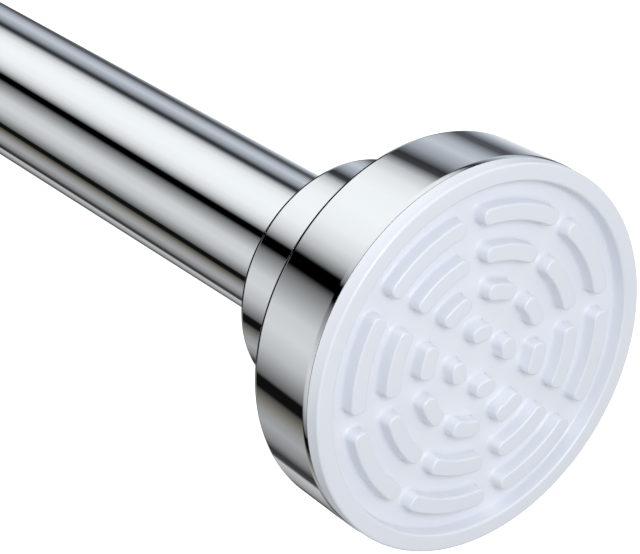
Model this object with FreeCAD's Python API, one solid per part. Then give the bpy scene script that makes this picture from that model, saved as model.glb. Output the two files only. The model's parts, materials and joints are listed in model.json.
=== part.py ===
import FreeCAD, Part
import math
import os
from FreeCAD import Vector

# Spring tension rod: two telescoping steel tubes with a round wall cap at each end.
# The rod lies along X. The first pad's face is the plane x = 0 and the rod runs to -X.

# Overall sizes
rod_length = 720.0
exposed_inner = 64.0
tube_overlap_end = 205.0

# Tubes
inner_tube_radius = 11.1
inner_tube_wall = 0.6
tube_clearance = 0.9
outer_tube_wall = 0.7
bead_depth = 0.4
bead_flat = 1.2
bead_slope = 0.8
bead_setback = 9.0

# Pressed wall cap, measured from the pad's face towards the middle of the rod
shell_radius = 31.9
shell_back = 16.4
collar_radius = 20.6
collar_back = 35.3
shell_gauge = 0.8
shell_bend = 1.1
shoulder_bend = 0.6
lip_clearance = 0.2
press_clearance = 0.1

# Rubber wall pad
pad_inset = 0.15
pad_proud = 2.7
pad_edge_round = 0.6
rim_width = 2.85
recess_depth = 2.5
recess_draft = 0.65
pad_plate = 3.0
skirt_wall = 3.0
skirt_length = 4.0

# Raised bars of the tread
tread_rings = 3
tread_margin = 4.85
middle_share = 0.77
bars_per_ring = 8
tread_turn = 29.3
bar_gap = 3.2
bar_width = 3.0
inner_bars = 4
inner_turn = 7.0
inner_bar_length = 4.0
bar_root = 0.5

# Moulded core behind the pad
core_web = 3.0
core_boss_wall = 2.4
core_flange_wall = 2.4
core_step = 3.5
hub_radius = 9.0
hub_stand = 1.0
core_ribs = 8
rib_thickness = 1.6
rib_setback = 0.5

# Cap screw and washer
cap_screw_radius = 2.0
cap_screw_length = 24.0
cap_screw_point = 2.5
cap_head_radius = 3.9
cap_head_height = 2.4
cap_head_bevel = 0.8
cap_washer_radius = 5.2
cap_washer_thickness = 0.8
counterbore_radius = 5.6
counterbore_depth = 4.0
screw_hole_clearance = 0.2

# End plug in the tube
plug_flange = 3.0
plug_length = 25.0
plug_floor = 3.0
plug_wall = 2.4
plug_boss_radius = 4.5
plug_boss_length = 21.0
plug_webs = 4
web_thickness = 1.6

# Guide ring in the outer tube's mouth
slide_clearance = 0.3
mouth_flange_stand = 0.9
mouth_flange_length = 3.5
mouth_sleeve_length = 14.0
mouth_bevel = 0.7

# Keyed bush in the inner tube's end
bush_flange = 2.5
bush_length = 18.0
key_clearance = 0.1

# Compression spring
spring_length = 60.0
spring_turns = 10.0
spring_mean_radius = 7.0
spring_wire_radius = 1.0
spring_wire_sides = 12

# Guide shaft
shaft_radius = 4.0
shaft_flat = 3.2
shaft_round_length = 5.0
shaft_thread_radius = 3.0
shaft_thread_length = 8.7
stop_gap = 0.3
stop_washer_radius = 7.5
stop_washer_thickness = 1.2
stop_nut_flats = 10.0
stop_nut_height = 5.0
seat_washer_radius = 9.0
seat_washer_thickness = 1.5
washer_clearance = 0.1

# Cam core, its drag ring and the cam wheel
core_disc_clearance = 1.4
seat_disc = 3.5
neck_radius = 7.0
neck_length = 10.5
middle_disc = 3.0
journal_radius = 6.0
journal_length = 16.0
cam_offset = 1.2
twist_limit = 40.0
running_clearance = 0.05
end_clearance = 0.3
wheel_grip_gap = 0.25
wheel_chamfer = 0.6
drag_ring_split = 3.0
shaft_pin_radius = 1.25
shaft_pin_recess = 0.2
shaft_socket_floor = 13.0
retainer_thickness = 2.5
cam_screw_radius = 2.0
cam_screw_length = 12.0
cam_head_radius = 3.8
cam_head_height = 2.5

# Places and fits that follow from the sizes above
outer_bore_radius = inner_tube_radius + tube_clearance
outer_tube_radius = outer_bore_radius + outer_tube_wall
inner_bore_radius = inner_tube_radius - inner_tube_wall
core_disc_radius = outer_bore_radius - core_disc_clearance
shell_bore_radius = shell_radius - shell_gauge
collar_bore_radius = collar_radius - shell_gauge
pad_radius = shell_radius - pad_inset
rim_inner_radius = pad_radius - rim_width
outer_ring_radius = rim_inner_radius - tread_margin
tread_pitch = outer_ring_radius / (tread_rings + middle_share)
skirt_radius = shell_bore_radius - press_clearance
skirt_bore_radius = skirt_radius - skirt_wall
plate_back = recess_depth + pad_plate
skirt_back = plate_back + skirt_length
core_back = shell_back - shell_gauge
hub_back = core_back + hub_stand
tube_end = hub_back + plug_flange
mouth_x = -(rod_length - collar_back - exposed_inner - mouth_flange_length)
inner_end_x = -tube_overlap_end
bush_face_x = inner_end_x + bush_flange
bush_inner_x = inner_end_x - bush_length
spring_seat_x = bush_face_x + spring_length
core_seat_x = spring_seat_x + seat_washer_thickness
neck_x = core_seat_x + seat_disc
neck_end_x = neck_x + neck_length
journal_x = neck_end_x + middle_disc
journal_end_x = journal_x + journal_length
retainer_x = journal_end_x + retainer_thickness
socket_end_x = journal_end_x - shaft_socket_floor
cam_lift = 2 * cam_offset * math.sin(math.radians(twist_limit / 2))
wheel_radius = outer_bore_radius - wheel_grip_gap - cam_lift

axis_x = Vector(1, 0, 0)
centre = Vector(0, 0, 0)
rod_middle = Vector(-rod_length / 2, 0, 0)


def turned(outline):
    """Solid turned about the rod's axis from (x, radius) corners."""
    corners = [Vector(x, 0, radius) for x, radius in outline]
    face = Part.Face(Part.makePolygon(corners + corners[:1]))
    return face.revolve(centre, axis_x, 360)


def drum(start, end, radius, offset=0.0):
    """Plain cylinder between two x places, its axis raised by the offset."""
    return Part.makeCylinder(radius, end - start, Vector(start, 0, offset), axis_x)


def is_rim(edge, rims):
    """True for a round edge about the rod's axis at one of the (x, radius) places."""
    if not isinstance(edge.Curve, Part.Circle):
        return False
    place = edge.Curve.Center
    return any(abs(place.x - x) < 1e-4 and abs(edge.Curve.Radius - radius) < 1e-4
               for x, radius in rims)


def rounded(shape, radius, rims):
    """The shape with the round edges at these (x, radius) places filleted."""
    return shape.makeFillet(radius, [edge for edge in shape.Edges if is_rim(edge, rims)])


def chamfered(shape, size, rims):
    """The shape with the round edges at these (x, radius) places bevelled."""
    return shape.makeChamfer(size, [edge for edge in shape.Edges if is_rim(edge, rims)])


def spoke(start, end, inner, outer, thickness, degrees):
    """Flat radial wall between two x places and two radii, turned about the axis."""
    wall = Part.makeBox(end - start, thickness, outer - inner, Vector(start, -thickness / 2, inner))
    return wall.rotated(centre, axis_x, degrees)


def at_far_end(shape):
    """The same piece turned end for end about the rod's middle."""
    return shape.rotated(rod_middle, Vector(0, 0, 1), 180)


def bead(x, radius, way):
    """Corners of the rolled bead that locks a tube on its plug, walked towards -X or +X."""
    corners = [
        (x + bead_flat / 2 + bead_slope, radius),
        (x + bead_flat / 2, radius - bead_depth),
        (x - bead_flat / 2, radius - bead_depth),
        (x - bead_flat / 2 - bead_slope, radius),
    ]
    return corners if way < 0 else corners[::-1]


def tube(start, end, radius, bore, bead_places):
    """Seamless tube from start down to end, rolled in at each bead."""
    outline = [(start, radius)]
    for x in bead_places:
        outline += bead(x, radius, -1)
    outline += [(end, radius), (end, bore)]
    for x in reversed(bead_places):
        outline += bead(x, bore, 1)
    return turned(outline + [(start, bore)])


def outer_tube():
    return tube(-tube_end, mouth_x, outer_tube_radius, outer_bore_radius, [-tube_end - bead_setback])


def inner_tube():
    far_end = tube_end - rod_length
    beads = [inner_end_x - bead_setback, far_end + bead_setback]
    return tube(inner_end_x, far_end, inner_tube_radius, inner_bore_radius, beads)


def tube_mouth_ring():
    """Plastic guide sleeve with a collar against the outer tube's cut end."""
    bore = inner_tube_radius + slide_clearance
    flange = outer_tube_radius + mouth_flange_stand
    outer_face = mouth_x - mouth_flange_length
    ring = turned([
        (mouth_x + mouth_sleeve_length, outer_bore_radius),
        (mouth_x, outer_bore_radius),
        (mouth_x, flange),
        (outer_face, flange),
        (outer_face, bore),
        (mouth_x + mouth_sleeve_length, bore),
    ])
    return chamfered(ring, mouth_bevel, [(mouth_x, flange), (outer_face, flange)])


def cap_shell(tube_radius):
    """Pressed steel cup and collar, drawn in to the tube behind."""
    lip = tube_radius + lip_clearance
    cup = turned([
        (-pad_proud, shell_radius),
        (-shell_back, shell_radius),
        (-shell_back, collar_radius),
        (-collar_back, collar_radius),
        (-collar_back, lip),
        (-collar_back + shell_gauge, lip),
        (-collar_back + shell_gauge, collar_bore_radius),
        (-core_back, collar_bore_radius),
        (-core_back, shell_bore_radius),
        (-pad_proud, shell_bore_radius),
    ])
    cup = rounded(cup, shell_bend, [(-shell_back, shell_radius), (-collar_back, collar_radius)])
    return rounded(cup, shoulder_bend, [(-shell_back, collar_radius)])


def bar_outline(x, ring_radius, half_angle, half_width):
    """Closed outline of an arc bar with half-round ends, in the plane of the given x."""
    def at(radius, angle, ahead=0.0):
        return Vector(x, radius * math.cos(angle) - ahead * math.sin(angle),
                      radius * math.sin(angle) + ahead * math.cos(angle))

    outer, inner = ring_radius + half_width, ring_radius - half_width
    arcs = [
        Part.Arc(at(outer, -half_angle), at(outer, 0), at(outer, half_angle)),
        Part.Arc(at(outer, half_angle), at(ring_radius, half_angle, half_width), at(inner, half_angle)),
        Part.Arc(at(inner, half_angle), at(inner, 0), at(inner, -half_angle)),
        Part.Arc(at(inner, -half_angle), at(ring_radius, -half_angle, -half_width), at(outer, -half_angle)),
    ]
    return Part.Wire([arc.toShape() for arc in arcs])


def tread_bar(ring_radius, length):
    """One bar, its top level with the pad's rim and its root in the plate."""
    half_angle = (length - bar_width) / 2 / ring_radius
    top = bar_outline(0, ring_radius, half_angle, bar_width / 2)
    return Part.Face(top).extrude(Vector(-recess_depth - bar_root, 0, 0))


def tread():
    """All raised bars: rings of long bars and a ring of short ones in the middle."""
    rings = []
    for k in range(tread_rings):
        radius = outer_ring_radius - k * tread_pitch
        rings.append((radius, 2 * math.pi * radius / bars_per_ring - bar_gap, bars_per_ring, tread_turn))
    middle_radius = outer_ring_radius - tread_rings * tread_pitch
    rings.append((middle_radius, inner_bar_length, inner_bars, inner_turn))
    bars = []
    for radius, length, count, turn in rings:
        bar = tread_bar(radius, length)
        bars += [bar.rotated(centre, axis_x, turn + 360 * k / count) for k in range(count)]
    return bars


def wall_pad():
    """Rubber pad: rim, sunken face with a raised tread, and a skirt that grips the core."""
    pad = turned([
        (0, rim_inner_radius),
        (0, pad_radius),
        (-pad_proud, pad_radius),
        (-pad_proud, skirt_radius),
        (-skirt_back, skirt_radius),
        (-skirt_back, skirt_bore_radius),
        (-plate_back, skirt_bore_radius),
        (-plate_back, 0),
        (-recess_depth, 0),
        (-recess_depth, rim_inner_radius - recess_draft),
    ])
    pad = rounded(pad, pad_edge_round, [(0, pad_radius)])
    return pad.multiFuse(tread())


def pad_core():
    """Moulded disc that carries the pad, ribbed behind, with a hub for the screw."""
    boss_radius = skirt_bore_radius - press_clearance
    cavity_x = -plate_back - core_web
    step_x = -skirt_back - core_step
    cavity_radius = boss_radius - core_boss_wall
    body = turned([
        (-plate_back, counterbore_radius),
        (-plate_back, boss_radius),
        (-skirt_back, boss_radius),
        (-skirt_back, skirt_radius),
        (-core_back, skirt_radius),
        (-core_back, skirt_radius - core_flange_wall),
        (step_x, skirt_radius - core_flange_wall),
        (step_x, cavity_radius),
        (cavity_x, cavity_radius),
        (cavity_x, hub_radius),
        (-hub_back, hub_radius),
        (-hub_back, cap_screw_radius + screw_hole_clearance),
        (-plate_back - counterbore_depth, cap_screw_radius + screw_hole_clearance),
        (-plate_back - counterbore_depth, counterbore_radius),
    ])
    ribs = [spoke(-core_back + rib_setback, cavity_x, hub_radius - rib_thickness / 2,
                  cavity_radius + rib_thickness / 2, rib_thickness, 360 * k / core_ribs)
            for k in range(core_ribs)]
    return body.multiFuse(ribs)


def cap_screw():
    head_seat = -plate_back - counterbore_depth + cap_washer_thickness
    screw = turned([
        (head_seat + cap_head_height, 0),
        (head_seat + cap_head_height, cap_head_radius),
        (head_seat, cap_head_radius),
        (head_seat, cap_screw_radius),
        (head_seat - cap_screw_length + cap_screw_point, cap_screw_radius),
        (head_seat - cap_screw_length, 0),
    ])
    return chamfered(screw, cap_head_bevel, [(head_seat + cap_head_height, cap_head_radius)])


def cap_washer():
    seat = -plate_back - counterbore_depth
    ring = drum(seat, seat + cap_washer_thickness, cap_washer_radius)
    return ring.cut(drum(seat, seat + cap_washer_thickness, cap_screw_radius + screw_hole_clearance))


def end_plug(bore_radius):
    """Plastic plug: flange that fits the collar, webbed body pressed in the tube."""
    body_end = -tube_end - plug_length
    floor_x = -tube_end - plug_floor
    hollow = bore_radius - plug_wall
    boss_end = -tube_end - plug_boss_length
    outline = [
        (-hub_back, cap_screw_radius),
        (-hub_back, collar_bore_radius - press_clearance),
        (-tube_end, collar_bore_radius - press_clearance),
        (-tube_end, bore_radius),
    ]
    outline += bead(-tube_end - bead_setback, bore_radius, -1)
    outline += [
        (body_end, bore_radius),
        (body_end, hollow),
        (floor_x, hollow),
        (floor_x, plug_boss_radius),
        (boss_end, plug_boss_radius),
        (boss_end, cap_screw_radius),
    ]
    webs = [spoke(boss_end, floor_x, plug_boss_radius - web_thickness / 4, hollow + web_thickness / 4,
                  web_thickness, 360 * k / plug_webs) for k in range(plug_webs)]
    return turned(outline).multiFuse(webs)


def keyed_section(start, end, radius, flat):
    """Round bar with two flats, between two x places."""
    bar = drum(start, end, radius)
    return bar.common(Part.makeBox(end - start, 2 * flat, 2 * radius, Vector(start, -flat, -radius)))


def tube_bush():
    """Flanged bush in the inner tube's end; its keyed bore turns the shaft with the tube."""
    outline = [(bush_face_x, 0), (bush_face_x, inner_tube_radius), (inner_end_x, inner_tube_radius),
               (inner_end_x, inner_bore_radius)]
    outline += bead(inner_end_x - bead_setback, inner_bore_radius, -1)
    outline += [(bush_inner_x, inner_bore_radius), (bush_inner_x, 0)]
    key = keyed_section(bush_inner_x, bush_face_x, shaft_radius + key_clearance, shaft_flat + key_clearance)
    return turned(outline).cut(key)


def shaft_pin_body(length):
    """Straight pin across the rod's axis at the middle of the neck."""
    middle = (neck_x + neck_end_x) / 2
    return Part.makeCylinder(shaft_pin_radius, length, Vector(middle, 0, -length / 2), Vector(0, 0, 1))


def guide_shaft():
    """Steel shaft: round in the cam core, keyed in the bush, threaded for the stop nut."""
    keyed_x = spring_seat_x - shaft_round_length
    thread_x = bush_inner_x - stop_gap
    shaft = drum(keyed_x, socket_end_x, shaft_radius)
    shaft = shaft.fuse(keyed_section(thread_x, keyed_x, shaft_radius, shaft_flat))
    shaft = shaft.fuse(drum(thread_x - shaft_thread_length, thread_x, shaft_thread_radius))
    return shaft.cut(shaft_pin_body(4 * shaft_radius))


def shaft_pin():
    return shaft_pin_body(2 * (neck_radius - shaft_pin_recess))


def stop_washer():
    seat = bush_inner_x - stop_gap
    ring = drum(seat - stop_washer_thickness, seat, stop_washer_radius)
    return ring.cut(drum(seat - stop_washer_thickness, seat, shaft_thread_radius + washer_clearance))


def stop_nut():
    """Hexagon nut, bevelled at both faces by a turned blank."""
    seat = bush_inner_x - stop_gap - stop_washer_thickness
    end = seat - stop_nut_height
    corner = stop_nut_flats / 2 / math.cos(math.pi / 6)
    points = [Vector(end, corner * math.cos(k * math.pi / 3), corner * math.sin(k * math.pi / 3))
              for k in range(6)]
    hexagon = Part.Face(Part.makePolygon(points + points[:1])).extrude(Vector(stop_nut_height, 0, 0))
    blank = chamfered(drum(end, seat, corner), corner - stop_nut_flats / 2, [(end, corner), (seat, corner)])
    return hexagon.common(blank).cut(drum(end, seat, shaft_thread_radius))


def seat_washer():
    ring = drum(spring_seat_x, core_seat_x, seat_washer_radius)
    return ring.cut(drum(spring_seat_x, core_seat_x, shaft_radius + washer_clearance))


def spring():
    """Wire coiled between the bush and the seat washer; its section has many sides."""
    rise = spring_length - 2 * spring_wire_radius
    path = Part.Wire(Part.makeHelix(rise / spring_turns, rise, spring_mean_radius))
    start = path.Edges[0]
    outward = Vector(spring_wire_radius, 0, 0)
    across = start.tangentAt(start.FirstParameter).cross(outward)
    angles = [2 * math.pi * k / spring_wire_sides for k in range(spring_wire_sides)]
    corners = [Vector(spring_mean_radius, 0, 0) + outward * math.cos(a) + across * math.sin(a) for a in angles]
    section = Part.makePolygon(corners + corners[:1])
    coil = path.makePipeShell([section], True, True)
    coil.rotate(centre, Vector(0, 1, 0), 90)
    coil.translate(Vector(bush_face_x + spring_wire_radius, 0, 0))
    return coil


def cam_core():
    """Moulded core: spring seat, neck for the drag ring, and the offset journal."""
    core = drum(core_seat_x, neck_x, core_disc_radius)
    core = core.fuse(drum(neck_x, neck_end_x, neck_radius))
    core = core.fuse(drum(neck_end_x, journal_x, core_disc_radius))
    core = core.fuse(drum(journal_x, journal_end_x, journal_radius, cam_offset))
    core = core.cut(drum(core_seat_x, socket_end_x, shaft_radius))
    core = core.cut(drum(socket_end_x, journal_end_x, cam_screw_radius))
    return core.cut(shaft_pin_body(4 * neck_radius))


def drag_ring():
    """Split ring on the core's neck that drags in the outer tube and holds it centred."""
    start, end = neck_x + end_clearance, neck_end_x - end_clearance
    ring = drum(start, end, outer_bore_radius - slide_clearance)
    ring = ring.cut(drum(start, end, neck_radius + running_clearance))
    split = Part.makeBox(end - start, drag_ring_split, outer_bore_radius,
                         Vector(start, -drag_ring_split / 2, 0))
    return ring.cut(split)


def cam_wheel():
    """Wheel bored off its centre, so that turning the journal wedges it in the tube."""
    start, end = journal_x + end_clearance, journal_end_x - end_clearance
    wheel = chamfered(drum(start, end, wheel_radius), wheel_chamfer, [(start, wheel_radius), (end, wheel_radius)])
    return wheel.cut(drum(start, end, journal_radius + running_clearance, cam_offset))


def cam_retainer():
    ring = drum(journal_end_x, retainer_x, core_disc_radius)
    return ring.cut(drum(journal_end_x, retainer_x, cam_screw_radius))


def cam_screw():
    head = drum(retainer_x, retainer_x + cam_head_height, cam_head_radius)
    return head.fuse(drum(retainer_x - cam_screw_length, retainer_x, cam_screw_radius))


def cap_pieces(letter, tube_radius, bore_radius):
    """The pieces of one wall cap, named with the letter of its end."""
    return {
        "cap_shell_" + letter: cap_shell(tube_radius),
        "wall_pad_" + letter: wall_pad(),
        "pad_core_" + letter: pad_core(),
        "end_plug_" + letter: end_plug(bore_radius),
        "cap_screw_" + letter: cap_screw(),
        "cap_washer_" + letter: cap_washer(),
    }


def main():
    pieces = cap_pieces("a", outer_tube_radius, outer_bore_radius)
    for name, piece in cap_pieces("b", inner_tube_radius, inner_bore_radius).items():
        pieces[name] = at_far_end(piece)
    inner_pieces = (outer_tube, inner_tube, tube_mouth_ring, tube_bush, spring, seat_washer, guide_shaft,
                    shaft_pin, stop_washer, stop_nut, cam_core, drag_ring, cam_wheel, cam_retainer, cam_screw)
    for make in inner_pieces:
        pieces[make.__name__] = make()
    os.makedirs("parts", exist_ok=True)
    for name, piece in pieces.items():
        piece.exportStep(f"parts/{name}.step")


main()
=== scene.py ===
import json
import math

import bmesh
import bpy
from bpy.props import FloatProperty, FloatVectorProperty, IntProperty, PointerProperty
from mathutils import Matrix, Vector


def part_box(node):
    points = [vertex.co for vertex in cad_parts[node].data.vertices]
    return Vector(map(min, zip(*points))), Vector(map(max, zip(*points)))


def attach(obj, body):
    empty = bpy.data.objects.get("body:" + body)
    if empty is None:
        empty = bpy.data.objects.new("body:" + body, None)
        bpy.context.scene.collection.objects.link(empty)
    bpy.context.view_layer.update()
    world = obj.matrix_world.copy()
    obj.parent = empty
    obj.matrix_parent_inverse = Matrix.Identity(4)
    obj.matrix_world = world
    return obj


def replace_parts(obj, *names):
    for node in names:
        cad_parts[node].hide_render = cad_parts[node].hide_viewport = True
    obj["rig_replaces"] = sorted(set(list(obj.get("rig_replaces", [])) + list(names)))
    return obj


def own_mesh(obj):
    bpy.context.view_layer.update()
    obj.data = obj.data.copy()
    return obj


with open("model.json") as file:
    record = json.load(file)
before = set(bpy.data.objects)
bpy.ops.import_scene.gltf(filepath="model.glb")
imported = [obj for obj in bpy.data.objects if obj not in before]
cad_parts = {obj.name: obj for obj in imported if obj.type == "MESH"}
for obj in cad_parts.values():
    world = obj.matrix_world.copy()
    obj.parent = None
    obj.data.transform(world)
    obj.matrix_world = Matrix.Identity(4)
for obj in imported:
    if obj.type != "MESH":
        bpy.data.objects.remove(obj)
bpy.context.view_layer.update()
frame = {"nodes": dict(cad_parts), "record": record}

bl_info = {
    "name": "Spring tension rod",
    "version": (1, 0, 0),
    "blender": (4, 5, 0),
    "location": "View3D > Sidebar > Tension Rod",
    "description": "Builds the tubes, wall caps, tread pads and finishes of a spring tension rod",
    "category": "Add Mesh",
}

# The rod lies along X, the first pad's face in the plane x = 0 and the rod towards -X.
# Turned pieces are drawn as an outline of (x, radius) corners and spun about X.
MM = 0.001
ALONG_ROD = (1, 0, 0)
MERGE_GAP = 1e-6
SMOOTH_ANGLE = math.radians(40)
# Steps of a rounded corner and of a full turn.
ROUND_STEPS = 6
TURN_STEPS = 192


def node_x(node):
    """Lowest and highest x of a solid of the frame."""
    low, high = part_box(node)
    return low.x, high.x


def node_radius(node):
    """Outside radius of a round solid of the frame."""
    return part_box(node)[1].z


ROD_MIDDLE = (node_x("wall_pad_b")[0] / 2, 0, 0)


# ---------------------------------------------------------------- sizes and colours

def length(name, description, default):
    """A size in metres."""
    return FloatProperty(name=name, description=description, default=default, unit="LENGTH",
                         precision=5)


def colour(name, description, default):
    """A colour in linear red, green and blue."""
    return FloatVectorProperty(name=name, description=description, default=default,
                               subtype="COLOR", size=3, min=0, max=1)


def level(name, description, default):
    """A strength of light; at 1 a surface that faces it renders in its own colour."""
    return FloatProperty(name=name, description=description, default=default, min=0)


class TubeSizes(bpy.types.PropertyGroup):
    outer_radius: length("Outer radius", "Outside radius of the outer tube",
                         node_radius("outer_tube"))
    outer_wall: length("Outer wall", "Wall of the outer tube", 0.7 * MM)
    inner_radius: length("Inner radius", "Outside radius of the inner tube",
                         node_radius("inner_tube"))
    inner_wall: length("Inner wall", "Wall of the inner tube", 0.6 * MM)
    mouth_bore: length("Mouth bore", "Radius of the mouth ring's bore", 11.4 * MM)
    mouth_flange: length("Mouth flange", "Length of the mouth ring's flange", 3.5 * MM)


class CapSizes(bpy.types.PropertyGroup):
    radius: length("Cup radius", "Outside radius of the pressed cup", node_radius("cap_shell_a"))
    back: length("Cup depth", "Distance of the cup's back from the wall", 16.4 * MM)
    taper: length("Cup taper", "How much smaller the cup's radius is at its back", 0.3 * MM)
    collar_radius: length("Collar radius", "Outside radius of the stepped collar", 20.6 * MM)
    gauge: length("Gauge", "Thickness of the pressed steel", 0.8 * MM)
    bend: length("Bend", "Outside radius of the pressed corners", 1.25 * MM)
    turned_in: length("Turned-in edge", "How far the cup's edge is drawn in at the pad", 0.23 * MM)
    shoulder: length("Shoulder bend", "Radius where the collar leaves the cup", 0.6 * MM)
    lip_gap: length("Lip gap", "Clearance of the drawn-in lip round the tube", 0.2 * MM)


class PadSizes(bpy.types.PropertyGroup):
    radius: length("Pad radius", "Outside radius of the rubber pad",
                   node_radius("cap_shell_a") - 0.15 * MM)
    rim: length("Rim width", "Width of the raised rim", 2.85 * MM)
    recess: length("Recess depth", "Depth of the sunken face", 2.5 * MM)
    edge_round: length("Edge round", "Rounding of the pad's outer edge", 0.4 * MM)
    proud: length("Proud of cup", "How far the pad stands out of the cup", 2.7 * MM)
    seam: length("Seam", "Gap between the pad's flange and the cup's edge", 0.13 * MM)
    outer_ring: length("Outer ring", "Radius of the outer ring of bars", 24.05 * MM)
    ring_pitch: length("Ring pitch", "Distance from ring to ring", 6.38 * MM)
    bar_width: length("Bar width", "Width of a bar at its top", 2.75 * MM)
    bar_corner: length("Bar corner", "Corner radius of a bar's top", 1.15 * MM)
    bar_gap: length("Bar gap", "Space between the ends of two bars", 3.4 * MM)
    inner_bar: length("Inner bar", "Length of the short bars in the middle", 3.7 * MM)


class SpringSizes(bpy.types.PropertyGroup):
    wire: length("Wire radius", "Radius of the spring's wire", 1.0 * MM)
    coil: length("Coil radius", "Mean radius of the coil", 7.0 * MM)
    turns: IntProperty(name="Turns", description="Turns of the coil", default=10, min=2, max=40)


class RodColours(bpy.types.PropertyGroup):
    chrome: colour("Chrome", "Tint of the mirror chrome plate", (0.92, 0.94, 0.955))
    # Painted light on the pads: the first tone goes down in the sunken face, painted lighter there
    # to offset its shade; the second tone, on the face plane, is the darker one.
    rubber: colour("Rubber", "Soft white rubber of the pads", (0.835, 0.86, 0.925))
    rubber_pressed: colour("Pressed rubber", "The rubber where the wall presses on it",
                           (0.775, 0.802, 0.865))
    white_plastic: colour("White plastic", "Mouth ring", (0.80, 0.81, 0.82))
    natural_plastic: colour("Natural plastic", "Cores, plugs and bush", (0.76, 0.74, 0.68))
    grey_plastic: colour("Grey plastic", "Lock core, wheel and ring", (0.28, 0.29, 0.31))
    zinc: colour("Zinc", "Zinc plated steel", (0.60, 0.62, 0.65))


class StudioSettings(bpy.types.PropertyGroup):
    ambient: level("Ambient", "Level of the light from all round", 0.72)
    front_light: level("Front light", "Level of the softbox in front of the pad", 0.4)
    top_light: level("Top light", "Level of the softbox overhead", 0.14)
    back_light: level("Back light", "Level of the softbox behind the far cap", 0.2)
    floor_drop: length("Floor drop", "How far the floor lies below the rod", 0.6)


# ---------------------------------------------------------------- selecting and finishing

def deselect_all():
    """Back to object mode with nothing selected."""
    if bpy.context.object and bpy.context.object.mode != "OBJECT":
        bpy.ops.object.mode_set(mode="OBJECT")
    bpy.ops.object.select_all(action="DESELECT")


def select_points(piece, wanted):
    """In edit mode, selects just the points whose place passes the test; returns how many."""
    bpy.ops.mesh.select_mode(type="VERT")
    bpy.ops.mesh.select_all(action="DESELECT")
    mesh = bmesh.from_edit_mesh(piece.data)
    count = 0
    for point in mesh.verts:
        if wanted(point.co):
            point.select_set(True)
            count += 1
    mesh.select_flush_mode()
    bmesh.update_edit_mesh(piece.data)
    return count


def finish_piece(piece, name, finish, body, slot, *nodes):
    """Names, shades and paints a piece, and sets it on its body in place of its solids."""
    bpy.ops.mesh.select_all(action="SELECT")
    bpy.ops.mesh.remove_doubles(threshold=MERGE_GAP)
    bpy.ops.mesh.normals_make_consistent(inside=False)
    bpy.ops.object.mode_set(mode="OBJECT")
    piece.name = piece.data.name = name
    bpy.ops.object.shade_smooth_by_angle(angle=SMOOTH_ANGLE)
    even = piece.modifiers.new("even_shading", "WEIGHTED_NORMAL")
    even.keep_sharp = True
    bpy.ops.object.modifier_apply(modifier=even.name)
    piece.data.materials.append(finish)
    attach(piece, body)
    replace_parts(piece, *nodes)
    return piece


# ---------------------------------------------------------------- modelling

def start_at(place):
    """A new mesh of one point at the place, in edit mode."""
    deselect_all()
    bpy.ops.mesh.primitive_plane_add(size=MM, enter_editmode=True)
    bpy.ops.mesh.select_mode(type="VERT")
    bpy.ops.mesh.merge(type="CENTER")
    bpy.ops.transform.translate(value=place)
    return bpy.context.object


def draw_to(step):
    """Extrudes the selected point or edge by the step."""
    bpy.ops.mesh.extrude_region_move(TRANSFORM_OT_translate={"value": step})


def turn(corners, closed=True):
    """Draws an outline of (x, radius, rounding) corners, rounds them and spins it about X."""
    (first_x, first_radius, _), rest = corners[0], corners[1:]
    piece = start_at((first_x, 0, first_radius))
    x, radius = first_x, first_radius
    for next_x, next_radius, _ in rest + (corners[:1] if closed else []):
        draw_to((next_x - x, 0, next_radius - radius))
        x, radius = next_x, next_radius
    bpy.ops.mesh.select_all(action="SELECT")
    bpy.ops.mesh.remove_doubles(threshold=MERGE_GAP)
    for rounding in sorted({corner[2] for corner in corners} - {0}):
        places = [Vector((x, 0, radius)) for x, radius, size in corners if size == rounding]
        found = select_points(
            piece, lambda point: any((point - place).length < MERGE_GAP for place in places))
        if found != len(places):
            raise RuntimeError(f"{found} of {len(places)} corners found to round by {rounding}")
        bpy.ops.mesh.bevel(offset=rounding, offset_type="OFFSET", segments=ROUND_STEPS,
                           affect="VERTICES")
    bpy.ops.mesh.select_all(action="SELECT")
    bpy.ops.mesh.spin(steps=TURN_STEPS, angle=2 * math.pi, center=(0, 0, 0), axis=ALONG_ROD)
    bpy.ops.mesh.select_all(action="SELECT")
    bpy.ops.mesh.remove_doubles(threshold=MERGE_GAP)
    return piece


def to_far_end():
    """Turns all of the piece in edit mode end for end about the rod's middle."""
    bpy.ops.mesh.select_all(action="SELECT")
    bpy.ops.transform.rotate(value=math.pi, orient_axis="Z", center_override=ROD_MIDDLE)


def bead(x, radius, way, depth=0.4 * MM, flat=1.2 * MM, slope=0.8 * MM, soft=0.5 * MM):
    """Corners of the rolled bead that locks a tube on its plug."""
    corners = [(x + flat / 2 + slope, radius, soft), (x + flat / 2, radius - depth, soft),
               (x - flat / 2, radius - depth, soft), (x - flat / 2 - slope, radius, soft)]
    return corners if way < 0 else corners[::-1]


def tube(node, radius, wall, beads):
    """A drawn tube with its cut ends rounded and a bead rolled in at each plug."""
    end, start = node_x(node)
    edge = 0.15 * MM
    outline = [(start, radius, edge)]
    for x in beads:
        outline += bead(x, radius, -1)
    outline += [(end, radius, edge), (end, radius - wall, edge)]
    for x in reversed(beads):
        outline += bead(x, radius - wall, 1)
    return turn(outline + [(start, radius - wall, edge)])


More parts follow.
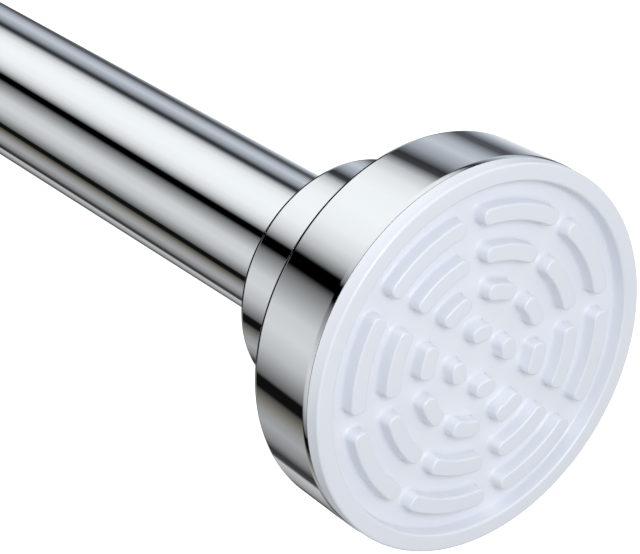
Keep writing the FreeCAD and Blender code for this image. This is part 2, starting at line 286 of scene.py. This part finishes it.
def bar_profile(recess):
    """Inset and rise of each step from a bar's foot to its top, and how far the foot stands out.

    The steps follow a flat border, a cove, a drafted wall, a rounded edge and a margin of the top.
    """
    border, cove, draft, top_round = 0.1 * MM, 0.55 * MM, 0.1 * MM, 0.28 * MM
    foot = border + cove + draft
    margin = 0.5 * top_round
    angles = [math.pi / 2 * k / ROUND_STEPS for k in range(ROUND_STEPS + 1)]
    points = [(0.0, 0.0), (border, 0.0)]
    points += [(border + cove * math.sin(angle), cove * (1 - math.cos(angle)))
               for angle in angles[1:]]
    points += [(foot + top_round * (1 - math.cos(angle)),
                recess - top_round + top_round * math.sin(angle)) for angle in angles]
    points.append((foot + top_round + margin, recess))
    return [(b[0] - a[0], b[1] - a[1]) for a, b in zip(points, points[1:])], foot


def tread_bars(ring_radius, bar_length, count, first_angle, pad):
    """One moulded bar, copied round its ring: an arc with rounded corners, stepped up by insets."""
    steps, foot = bar_profile(pad.recess)
    half_width = pad.bar_width / 2 + foot
    corner = pad.bar_corner + foot
    half_angle = (bar_length / 2 - pad.bar_corner) / ring_radius
    start, end = first_angle - half_angle, first_angle + half_angle
    arc_step = 1.1 * MM
    arc_steps = max(3, round(2 * half_angle * ring_radius / arc_step))

    def at(radius, angle):
        return Vector((-pad.recess, radius * math.cos(angle), radius * math.sin(angle)))

    def swing(segments, angle, middle=(0, 0, 0)):
        bpy.ops.mesh.spin(steps=segments, angle=angle, center=middle, axis=(-1, 0, 0))

    outer, inner = ring_radius + half_width - corner, ring_radius - half_width + corner
    piece = start_at(at(ring_radius + half_width, start))
    for there, here, first, second in ((start, end, outer, inner), (end, start, inner, outer)):
        swing(arc_steps, here - there)
        swing(ROUND_STEPS, math.pi / 2, at(first, here))
        draw_to(at(second, here) - at(first, here))
        swing(ROUND_STEPS, math.pi / 2, at(second, here))
    bpy.ops.mesh.select_all(action="SELECT")
    bpy.ops.mesh.remove_doubles(threshold=MERGE_GAP)
    bpy.ops.mesh.edge_face_add()
    bpy.ops.mesh.select_mode(type="FACE")
    bpy.ops.mesh.select_all(action="SELECT")
    mesh = bmesh.from_edit_mesh(piece.data)
    if any(face.normal.x < 0 for face in mesh.faces):
        bpy.ops.mesh.flip_normals()
    for thickness, depth in steps:
        bpy.ops.mesh.inset(thickness=thickness, depth=depth, use_even_offset=True)
    bpy.ops.mesh.select_all(action="SELECT")
    bpy.ops.mesh.spin(steps=count - 1, angle=2 * math.pi * (count - 1) / count, dupli=True,
                      center=(0, 0, 0), axis=(-1, 0, 0))
    bpy.ops.object.mode_set(mode="OBJECT")
    return piece


# ---------------------------------------------------------------- finishes

class Signal:
    """A number, colour or vector on its way through a finish; sums on it add Math nodes."""

    def __init__(self, finish, socket):
        self.finish = finish
        self.socket = socket

    def __add__(self, other):
        return self.finish.math("ADD", self, other)

    def __sub__(self, other):
        return self.finish.math("SUBTRACT", self, other)

    def __rsub__(self, other):
        return self.finish.math("SUBTRACT", other, self)

    def __mul__(self, other):
        return self.finish.math("MULTIPLY", self, other)

    def __truediv__(self, other):
        return self.finish.math("DIVIDE", self, other)

    __radd__ = __add__
    __rmul__ = __mul__


class Finish:
    """A node tree being filled in: a material's, or the world's."""

    def __init__(self, holder):
        self.holder = holder
        holder.use_nodes = True
        self.tree = holder.node_tree
        self.tree.nodes.clear()

    def node(self, kind, settings=None, inputs=(), output=0):
        """Adds a node, sets it up, fills or links its sockets and returns one output."""
        made = self.tree.nodes.new(kind)
        for key, value in (settings or {}).items():
            if key == "stops":
                self.set_stops(made.color_ramp, value)
            else:
                setattr(made, key, value)
        for key, value in (inputs.items() if isinstance(inputs, dict) else enumerate(inputs)):
            if isinstance(value, Signal):
                self.tree.links.new(value.socket, made.inputs[key])
            else:
                made.inputs[key].default_value = value
        return Signal(self, made.outputs[output] if len(made.outputs) else None)

    @staticmethod
    def set_stops(ramp, stops):
        """Fills a colour ramp from (place, tone) stops."""
        while len(ramp.elements) < len(stops):
            ramp.elements.new(1.0)
        for element, (place, tone) in zip(ramp.elements, stops):
            element.position = place
            element.color = (*tone, 1.0)

    def math(self, operation, *values, clamp=False):
        """One Math node on numbers or Signals."""
        return self.node("ShaderNodeMath", {"operation": operation, "use_clamp": clamp}, values)

    def place(self, scale=(1, 1, 1)):
        """Place on the piece in metres, stretched by the scale."""
        coordinates = self.node("ShaderNodeTexCoord", output="Object")
        return self.node("ShaderNodeMapping", inputs={"Vector": coordinates, "Scale": scale})

    def noise(self, place, scale, detail=4.0, roughness=0.5):
        """Smooth noise at the place, between 0 and 1."""
        return self.node("ShaderNodeTexNoise", inputs={
            "Vector": place, "Scale": scale, "Detail": detail, "Roughness": roughness})

    def mix(self, factor, first, second, blend="MIX"):
        """Two colours mixed, each of them a tone or a Signal."""
        first, second = (end if isinstance(end, Signal) else (*end, 1.0) for end in (first, second))
        colour_a, colour_b, colour_result = 6, 7, 2
        return self.node("ShaderNodeMix", {"data_type": "RGBA", "blend_type": blend},
                         {"Factor": factor, colour_a: first, colour_b: second},
                         output=colour_result)

    def times(self, first, second):
        """Two colours multiplied."""
        return self.mix(1.0, first, second, "MULTIPLY")

    def bump(self, height, strength, distance):
        """The normals of a fine relief, its distance in metres."""
        return self.node("ShaderNodeBump", inputs={
            "Height": height, "Strength": strength, "Distance": distance})

    def surface(self, **sockets):
        """The principled surface, with socket names written with underscores."""
        inputs = {key.replace("_", " "): value for key, value in sockets.items()}
        shader = self.node("ShaderNodeBsdfPrincipled", inputs=inputs)
        self.node("ShaderNodeOutputMaterial", inputs={"Surface": shader})
        return self.holder


def new_finish(name):
    """An empty finish on a new material."""
    return Finish(bpy.data.materials.new(name))


def named_finish(name, make):
    """The material of that name, made the first time it is asked for."""
    return bpy.data.materials.get(name) or make(name)


def chrome_plate(name):
    """Mirror chrome with the faintest streaks and cloudiness from polishing."""
    tint = bpy.context.scene.rod_colours.chrome
    f = new_finish(name)
    streaks = f.noise(f.place(scale=(60, 1, 1)), scale=400.0, detail=3.0)
    clouds = f.noise(f.place(), scale=90.0, detail=3.0)
    return f.surface(Base_Color=f.mix(clouds, [0.985 * c for c in tint], tint), Metallic=1.0,
                     Roughness=0.012 + 0.01 * streaks + 0.01 * clouds)


def soft_rubber(name):
    """White moulded rubber, painted lighter down in the sunken face to offset the shade there and
    so greyer on the face plane, with faint mottling and a fine matt grain.
    """
    colours = bpy.context.scene.rod_colours
    f = new_finish(name)
    mottle = f.noise(f.place(), scale=70.0)
    grain = f.noise(f.place(), scale=5200.0, detail=3.0, roughness=0.6)
    middle = ROD_MIDDLE[0]
    place = f.node("ShaderNodeTexCoord", output="Object")
    along = f.node("ShaderNodeSeparateXYZ", inputs=[place], output="X")
    # Painted light: the colour runs from the darker face tone to the lighter rubber with depth,
    # lighting up the sunken face against its shade.
    below_face = -middle - f.math("ABSOLUTE", along - middle)
    sunk = f.math("DIVIDE", below_face, bpy.context.scene.rod_pads.recess, clamp=True)
    tone_with_painted_recess_light = f.mix(sunk, colours.rubber_pressed, colours.rubber)
    mottling = f.mix(mottle, (0.975, 0.975, 0.975), (1.0, 1.0, 1.0))
    return f.surface(Base_Color=f.times(tone_with_painted_recess_light, mottling),
                     Roughness=0.2 + 0.08 * grain + 0.04 * mottle,
                     Normal=f.bump(grain + 0.4 * mottle, strength=0.05, distance=0.05 * MM))


def moulded_plastic(name, tone, shade=0.93, rough=0.38):
    """Injection-moulded plastic with flow marks and a fine texture."""
    f = new_finish(name)
    flow = f.noise(f.place(scale=(0.4, 1, 1)), scale=60.0, detail=5.0, roughness=0.6)
    grain = f.noise(f.place(), scale=3500.0, detail=2.0)
    return f.surface(Base_Color=f.mix(flow, [shade * c for c in tone], tone),
                     Roughness=rough + 0.14 * grain,
                     Normal=f.bump(grain, strength=0.15, distance=0.04 * MM))


def zinc_plate(name):
    """Bright zinc over turned steel: fine rings along the axis and dull patches."""
    tone = bpy.context.scene.rod_colours.zinc
    f = new_finish(name)
    rings = f.noise(f.place(scale=(40, 1, 1)), scale=180.0, detail=2.0)
    patches = f.noise(f.place(), scale=300.0)
    return f.surface(Base_Color=f.mix(patches, [0.86 * c for c in tone], tone), Metallic=1.0,
                     Roughness=0.24 + 0.16 * patches + 0.08 * rings,
                     Normal=f.bump(rings, strength=0.1, distance=0.03 * MM))


def plastic_of(slot):
    """The moulded plastic of a material slot, in its own colour."""
    tone = tuple(getattr(bpy.context.scene.rod_colours, slot))
    return named_finish(slot, lambda name: moulded_plastic(name, tone))


# ---------------------------------------------------------------- the pieces

class ROD_OT_tubes(bpy.types.Operator):
    """Models the two telescoping chromed tubes"""
    bl_idname = "rod.tubes"
    bl_label = "Telescoping tubes"

    def execute(self, context):
        sizes = context.scene.rod_tubes
        chrome = named_finish("chrome_plate", chrome_plate)
        bead_setback = 9 * MM
        outer_start = node_x("outer_tube")[1]
        piece = tube("outer_tube", sizes.outer_radius, sizes.outer_wall,
                     [outer_start - bead_setback])
        finish_piece(piece, "long_tube", chrome, "outer", "chrome_tube", "outer_tube")
        inner_end, inner_start = node_x("inner_tube")
        piece = tube("inner_tube", sizes.inner_radius, sizes.inner_wall,
                     [inner_start - bead_setback, inner_end + bead_setback])
        finish_piece(piece, "slide_tube", chrome, "inner", "chrome_tube", "inner_tube")
        return {"FINISHED"}


class ROD_OT_mouth(bpy.types.Operator):
    """Models the plastic guide ring in the outer tube's mouth"""
    bl_idname = "rod.mouth"
    bl_label = "Mouth ring"

    def execute(self, context):
        sizes = context.scene.rod_tubes
        face, inside = node_x("tube_mouth_ring")
        flange_radius = node_radius("tube_mouth_ring")
        sleeve = sizes.outer_radius - sizes.outer_wall
        back = face + sizes.mouth_flange
        sleeve_round, back_round, face_round, bore_round = 0.2 * MM, 0.7 * MM, 0.9 * MM, 0.3 * MM
        piece = turn([(inside, sleeve, sleeve_round), (back, sleeve, 0),
                      (back, flange_radius, back_round), (face, flange_radius, face_round),
                      (face, sizes.mouth_bore, bore_round),
                      (inside, sizes.mouth_bore, sleeve_round)])
        finish_piece(piece, "mouth_collar", plastic_of("white_plastic"), "outer", "white_plastic",
                     "tube_mouth_ring")
        return {"FINISHED"}


class ROD_OT_cups(bpy.types.Operator):
    """Models the pressed chromed cup with its stepped collar at each end"""
    bl_idname = "rod.cups"
    bl_label = "Pressed cups"

    def outline(self, cap, tube_radius):
        """Corners of the cup: out along its side and collar, and back along its inside."""
        collar_back, front = node_x("cap_shell_a")
        lip = tube_radius + cap.lip_gap
        bore, collar_bore = cap.radius - cap.gauge, cap.collar_radius - cap.gauge
        inside = -cap.back + cap.gauge
        slope, slope_round, cut = 1.4 * cap.turned_in, 0.37 * MM, 0.08 * MM
        lip_round, inner_round, inner_bend = 0.25 * MM, 0.3 * MM, 1.2 * MM
        return [(front, cap.radius - cap.turned_in, 0), (front - slope, cap.radius, slope_round),
                (-cap.back, cap.radius - cap.taper, cap.bend),
                (-cap.back, cap.collar_radius, cap.shoulder),
                (collar_back, cap.collar_radius, cap.bend), (collar_back, lip, lip_round),
                (collar_back + cap.gauge, lip, lip_round),
                (collar_back + cap.gauge, collar_bore, inner_round),
                (inside, collar_bore, inner_bend), (inside, bore, inner_round),
                (front, bore, cut)]

    def execute(self, context):
        cap, tubes = context.scene.rod_caps, context.scene.rod_tubes
        chrome = named_finish("chrome_plate", chrome_plate)
        piece = turn(self.outline(cap, tubes.outer_radius))
        finish_piece(piece, "pressed_cup_a", chrome, "outer", "chrome_cap", "cap_shell_a")
        piece = turn(self.outline(cap, tubes.inner_radius))
        to_far_end()
        finish_piece(piece, "pressed_cup_b", chrome, "inner", "chrome_cap", "cap_shell_b")
        return {"FINISHED"}


class ROD_OT_pads(bpy.types.Operator):
    """Models the rubber wall pads: rim, sunken face, tread of raised bars and skirt"""
    bl_idname = "rod.pads"
    bl_label = "Tread pads"

    def body(self, pad):
        """Rim, side and skirt, turned; the sunken face is left open."""
        skirt_end = node_x("wall_pad_a")[0]
        skirt, skirt_bore, plate = 31.0 * MM, 28.0 * MM, 3.0 * MM
        plate_back = -pad.recess - plate
        flange_back = -pad.proud + pad.seam
        rim_inner = pad.radius - pad.rim
        rim_draft, cove, ledge = 0.25 * MM, 0.4 * MM, 0.56 * MM
        foot = rim_inner - rim_draft
        rim_round, flange_round, skirt_round, corner_round = 0.35 * MM, 0.1 * MM, 0.4 * MM, 0.5 * MM
        return turn([(-pad.recess, foot - ledge, 0), (-pad.recess, foot, cove),
                     (0, rim_inner, rim_round), (0, pad.radius, pad.edge_round),
                     (flange_back, pad.radius, flange_round), (flange_back, skirt, 0),
                     (skirt_end, skirt, skirt_round), (skirt_end, skirt_bore, skirt_round),
                     (plate_back, skirt_bore, corner_round), (plate_back, 0, 0)], closed=False)

    def rings(self, pad):
        """Radius, bar length, count and first angle of each ring of bars."""
        long_rings, bars, first_turn = 3, 8, math.radians(29.3)
        short_bars, short_turn = 4, math.radians(7)
        for k in range(long_rings):
            radius = pad.outer_ring - k * pad.ring_pitch
            yield radius, 2 * math.pi * radius / bars - pad.bar_gap, bars, first_turn
        yield pad.outer_ring - long_rings * pad.ring_pitch, pad.inner_bar, short_bars, short_turn

    def execute(self, context):
        pad = context.scene.rod_pads
        parts = [tread_bars(*ring, pad) for ring in self.rings(pad)]
        body = self.body(pad)
        bpy.ops.object.mode_set(mode="OBJECT")
        for part in parts:
            part.select_set(True)
        bpy.ops.object.join()
        bpy.ops.object.mode_set(mode="EDIT")
        bpy.ops.mesh.select_mode(type="EDGE")
        bpy.ops.mesh.select_all(action="DESELECT")
        bpy.ops.mesh.select_non_manifold(extend=False, use_wire=False, use_boundary=True,
                                         use_multi_face=False, use_non_contiguous=False,
                                         use_verts=False)
        bpy.ops.mesh.fill(use_beauty=True)
        mesh = bmesh.from_edit_mesh(body.data)
        if any(edge.is_boundary for edge in mesh.edges):
            raise RuntimeError("the pad's sunken face didn't close")
        rubber = named_finish("soft_rubber", soft_rubber)
        finish_piece(body, "tread_pad_a", rubber, "outer", "white_rubber", "wall_pad_a")
        deselect_all()
        body.select_set(True)
        context.view_layer.objects.active = body
        bpy.ops.object.duplicate()
        twin = context.object
        bpy.ops.object.mode_set(mode="EDIT")
        to_far_end()
        bpy.ops.object.mode_set(mode="OBJECT")
        twin.name = twin.data.name = "tread_pad_b"
        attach(twin, "inner")
        # The copy came with the first pad's solid and stands for its own only.
        twin["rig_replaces"] = []
        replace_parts(twin, "wall_pad_b")
        return {"FINISHED"}


class ROD_OT_spring(bpy.types.Operator):
    """Models the compression spring round the guide shaft"""
    bl_idname = "rod.spring"
    bl_label = "Spring"

    def execute(self, context):
        sizes = context.scene.rod_spring
        start, end = node_x("spring")
        wire_sides, steps_a_turn = 14, 40
        piece = start_at((start + 2 * sizes.wire, 0, sizes.coil))
        bpy.ops.mesh.spin(steps=wire_sides, angle=2 * math.pi, axis=(0, 1, 0),
                          center=(start + sizes.wire, 0, sizes.coil))
        bpy.ops.mesh.select_all(action="SELECT")
        bpy.ops.mesh.remove_doubles(threshold=MERGE_GAP)
        bpy.ops.object.mode_set(mode="OBJECT")
        coil = piece.modifiers.new("coil", "SCREW")
        coil.axis = "X"
        coil.screw_offset = (end - start - 2 * sizes.wire) / sizes.turns
        coil.iterations = sizes.turns
        coil.steps = coil.render_steps = steps_a_turn
        bpy.ops.object.modifier_apply(modifier=coil.name)
        bpy.ops.object.mode_set(mode="EDIT")
        bpy.ops.mesh.select_all(action="SELECT")
        bpy.ops.mesh.fill_holes(sides=0)
        zinc = named_finish("zinc_plate", zinc_plate)
        finish_piece(piece, "coil_spring", zinc, "lock", "zinc_steel", "spring")
        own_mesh(piece)
        return {"FINISHED"}


class ROD_OT_finishes(bpy.types.Operator):
    """Gives the solids that stay as they are their plastic and zinc finishes"""
    bl_idname = "rod.finishes"
    bl_label = "Inside finishes"

    def execute(self, context):
        for row in frame["record"]["subparts"]:
            node = frame["nodes"][row["node"]]
            if node.hide_render:
                continue
            slot = row["material_slot"]
            if slot == "zinc_steel":
                finish = named_finish("zinc_plate", zinc_plate)
            else:
                finish = plastic_of(slot)
            if not node.material_slots:
                raise RuntimeError(f"{node.name} has no material slot")
            for place in node.material_slots:
                place.material = finish
        return {"FINISHED"}


# ---------------------------------------------------------------- the studio

class ROD_OT_stage(bpy.types.Operator):
    """Sets up the floor, reflectors, lights and camera"""
    bl_idname = "rod.stage"
    bl_label = "Studio"

    # Reflectors round the rod: degrees about the rod from straight up towards the far side, and
    # grey level. Long pale panels with black flags between them draw the lines along the chrome.
    near_panels = (
        (-180, 0.04), (-171.5, 0.26), (-160, 0.40), (-152, 0.32), (-140, 0.08), (-138, 0.005),
        (-131, 0.005), (-129, 0.13), (-113, 0.54), (-99, 0.70), (-87, 0.65), (-67.5, 0.18),
        (-62.5, 0.0), (-54.5, 0.0), (-52.5, 0.17), (-46.5, 0.53), (-40, 0.76), (-30, 0.93),
        (-15, 0.985), (4, 0.965),
    )
    far_panels = (
        (4, 0.965), (15.5, 0.86), (24, 0.60), (31.2, 0.055), (35.5, 0.035), (44.3, 0.38),
        (56, 0.64), (65, 0.50), (77, 0.1), (83, 0.095), (99, 0.58), (116, 0.94), (131, 0.80),
        (141, 0.075), (145, 0.07), (156.5, 0.34), (170.5, 0.54), (174, 0.055), (180, 0.04),
    )
    # Tints of the panels: a warm one low on the near side, cool ones on the far side.
    tints = ((-154, (0.97, 0.985, 1.0)), (-145, (1.06, 1.0, 0.85)), (-139, (1.0, 0.98, 0.9)),
             (-129, (0.97, 0.99, 1.0)), (18, (0.97, 0.99, 1.0)), (38, (0.87, 0.93, 1.03)),
             (96, (0.87, 0.94, 1.04)), (118, (0.97, 0.99, 1.0)))
    tent_radius, tent_back, tent_front = 3, -4.6, 12
    # The tent's back has a black flag in its middle and a dimmer ring of the panels round it.
    flag_radius, ring_level = 2.5, 0.65
    # Behind this x the panels lean by so many degrees a metre; the far ones lean less but fan out.
    lean_from, near_lean, far_lean, fan, fan_from, fan_to = -2.94, 7.0, 1.5, 0.002, 15.0, 130.0

    def backdrop(self, settings):
        """White seen by the camera, metal and glass, and a plain level for everything else."""
        ambient_tint, white = (0.975, 0.99, 1.0), (1.0, 1.0, 1.0)
        world = bpy.data.worlds.new("studio")
        bpy.context.scene.world = world
        f = Finish(world)
        camera = f.node("ShaderNodeLightPath", output="Is Camera Ray")
        glossy = f.node("ShaderNodeLightPath", output="Is Glossy Ray")
        through = f.node("ShaderNodeLightPath", output="Is Transmission Ray")
        seen = f.math("MAXIMUM", f.math("MAXIMUM", camera, glossy), through)
        shader = f.node("ShaderNodeBackground", inputs={
            "Color": f.mix(seen, ambient_tint, white),
            "Strength": settings.ambient + (1.0 - settings.ambient) * seen})
        f.node("ShaderNodeOutputWorld", inputs={"Surface": shader})

    def floor(self, settings):
        """Pale floor, white to the camera and a little darker as a source of bounced light."""
        deselect_all()
        floor_width = 40
        bpy.ops.mesh.primitive_plane_add(size=floor_width, location=(0, 0, -settings.floor_drop))
        floor = bpy.context.object
        floor.name = "floor"
        f = new_finish("pale_floor")
        lit_tone, seen_tone, seen_lift = (0.62, 0.625, 0.63), (0.9, 0.9, 0.9), 0.45
        camera = f.node("ShaderNodeLightPath", output="Is Camera Ray")
        tone = f.mix(camera, lit_tone, seen_tone)
        paint = f.node("ShaderNodeBsdfDiffuse", inputs={"Color": tone})
        lift = f.node("ShaderNodeEmission", inputs={"Strength": seen_lift * camera})
        both = f.node("ShaderNodeAddShader", inputs=[paint, lift])
        f.node("ShaderNodeOutputMaterial", inputs={"Surface": both})
        floor.data.materials.append(f.holder)
        floor.visible_glossy = False

    def tent(self):
        """Reflector tent round the rod, seen by shiny surfaces only."""
        deselect_all()
        back, front, sides, skin = self.tent_back, self.tent_front, 96, 10 * MM
        bpy.ops.mesh.primitive_cylinder_add(vertices=sides, radius=self.tent_radius,
                                            depth=front - back,
                                            location=((front + back) / 2, 0, 0),
                                            rotation=(0, math.pi / 2, 0))
        tent = bpy.context.object
        bpy.ops.object.transform_apply(location=True, rotation=True, scale=True)
        tent.name = "reflector_tent"
        f = new_finish("reflectors")
        place = f.node("ShaderNodeTexCoord", output="Object")
        split = f.tree.nodes.new("ShaderNodeSeparateXYZ")
        f.tree.links.new(place.socket, split.inputs[0])
        x, y, z = (Signal(f, split.outputs[axis]) for axis in "XYZ")
        turn_of = f.math("ARCTAN2", y, z) * (180 / math.pi)
        side = f.math("GREATER_THAN", turn_of, self.far_panels[0][0])
        past = f.math("MAXIMUM", turn_of - self.fan_from, 0.0)
        fanned = self.far_lean - self.near_lean + self.fan * past * past
        lean = self.near_lean + fanned * side * f.math("LESS_THAN", turn_of, self.fan_to)
        turn_of = turn_of + f.math("MINIMUM", x - self.lean_from, 0.0) * lean
        near, far = (self.ramp(f, turn_of, [(degrees, (tone,) * 3) for degrees, tone in panels])
                     for panels in (self.near_panels, self.far_panels))
        grey = f.mix(side, near, far)
        tint = self.ramp(f, turn_of, self.tints)
        walls = f.math("GREATER_THAN", x, back + skin)
        ring = f.math("GREATER_THAN", y * y + z * z, self.flag_radius ** 2) * self.ring_level
        light = f.node("ShaderNodeEmission", inputs={
            "Color": f.times(grey, tint), "Strength": f.math("MAXIMUM", walls, ring)})
        f.node("ShaderNodeOutputMaterial", inputs={"Surface": light})
        f.holder.cycles.emission_sampling = "NONE"
        tent.data.materials.append(f.holder)
        tent.visible_camera = tent.visible_diffuse = tent.visible_shadow = False
        tent.visible_transmission = tent.visible_volume_scatter = False

    def ramp(self, f, turn_of, stops):
        """Colour by the turn about the rod, from (degrees, colour) stops."""
        first, last = stops[0][0], stops[-1][0]
        places = [((degrees - first) / (last - first), tone) for degrees, tone in stops]
        return f.node("ShaderNodeValToRGB", {"stops": places}, [(turn_of - first) / (last - first)])

    def lamps(self, settings):
        """Softboxes before the pad, overhead and behind the far cap; gloss shows only the first."""
        softness = 0.37
        boxes = (("front_softbox", (0.79, -0.34, 0.5), 0.38, settings.front_light, True),
                 ("top_softbox", (0.15, -0.3, 0.94), 3.0, settings.top_light, False),
                 ("back_softbox", (-0.98, -0.1, 0.15), 3.0, settings.back_light, False))
        for name, way, distance, strength, in_gloss in boxes:
            deselect_all()
            place = Vector(way).normalized() * distance
            bpy.ops.object.light_add(type="AREA", location=place,
                                     rotation=place.to_track_quat("Z", "Y").to_euler())
            lamp = bpy.context.object
            lamp.name = name
            lamp.data.shape = "SQUARE"
            lamp.data.size = softness * distance
            # Watts that light a surface facing the lamp, at this distance, to a level of 1.
            full_level = (math.pi * distance) ** 2
            lamp.data.energy = strength * full_level
            lamp.visible_glossy = in_gloss

    def camera(self):
        """The photograph's own view, from the ellipses and edges of the pad, cap and tube."""
        deselect_all()
        pad_radius = 31.75 * MM
        azimuth, elevation, roll = (math.radians(angle) for angle in (52.5908, 26.5063, 0.44315))
        aside, above, away = -0.784724, 0.403622, 11.386686
        focal_pixels, image_pixels, sensor_width = 2395.7464, 640, 36
        back = Vector((math.sin(azimuth) * math.cos(elevation),
                       -math.cos(azimuth) * math.cos(elevation), math.sin(elevation)))
        across = Vector((math.cos(azimuth), math.sin(azimuth), 0))
        rise = back.cross(across)
        right = math.cos(roll) * across + math.sin(roll) * rise
        up = math.cos(roll) * rise - math.sin(roll) * across
        place = (aside * right + above * up + away * back) * pad_radius
        turned = Matrix((right, up, back)).transposed()
        bpy.ops.object.camera_add(location=place, rotation=turned.to_euler())
        camera = bpy.context.object
        camera.data.sensor_width = sensor_width
        camera.data.lens = sensor_width * focal_pixels / image_pixels
        camera.data.clip_start = 0.01
        bpy.context.scene.camera = camera

    def execute(self, context):
        settings = context.scene.rod_studio
        context.scene.view_settings.view_transform = "Standard"
        self.backdrop(settings)
        self.floor(settings)
        self.tent()
        self.lamps(settings)
        self.camera()
        return {"FINISHED"}


class ROD_PT_panel(bpy.types.Panel):
    """Buttons for the rod's pieces, with their sizes and colours"""
    bl_label = "Tension Rod"
    bl_idname = "ROD_PT_panel"
    bl_space_type = "VIEW_3D"
    bl_region_type = "UI"
    bl_category = "Tension Rod"

    def draw(self, context):
        for operator, group in PANEL_ROWS:
            box = self.layout.box()
            box.operator(operator.bl_idname)
            if group:
                settings = getattr(context.scene, group)
                for name in settings.__annotations__:
                    box.prop(settings, name)


GROUPS = {"rod_tubes": TubeSizes, "rod_caps": CapSizes, "rod_pads": PadSizes,
          "rod_spring": SpringSizes, "rod_colours": RodColours, "rod_studio": StudioSettings}
PANEL_ROWS = ((ROD_OT_tubes, "rod_tubes"), (ROD_OT_mouth, None), (ROD_OT_cups, "rod_caps"),
              (ROD_OT_pads, "rod_pads"), (ROD_OT_spring, "rod_spring"),
              (ROD_OT_finishes, "rod_colours"), (ROD_OT_stage, "rod_studio"))
OPERATORS = tuple(row[0] for row in PANEL_ROWS)


def register():
    for kind in (*GROUPS.values(), *OPERATORS, ROD_PT_panel):
        bpy.utils.register_class(kind)
    for name, group in GROUPS.items():
        setattr(bpy.types.Scene, name, PointerProperty(type=group))


def unregister():
    for name in GROUPS:
        delattr(bpy.types.Scene, name)
    for kind in reversed((*GROUPS.values(), *OPERATORS, ROD_PT_panel)):
        bpy.utils.unregister_class(kind)


def main():
    register()
    bpy.ops.rod.tubes()
    bpy.ops.rod.mouth()
    bpy.ops.rod.cups()
    bpy.ops.rod.pads()
    bpy.ops.rod.spring()
    bpy.ops.rod.finishes()
    bpy.ops.rod.stage()


if __name__ == "__main__":
    main()
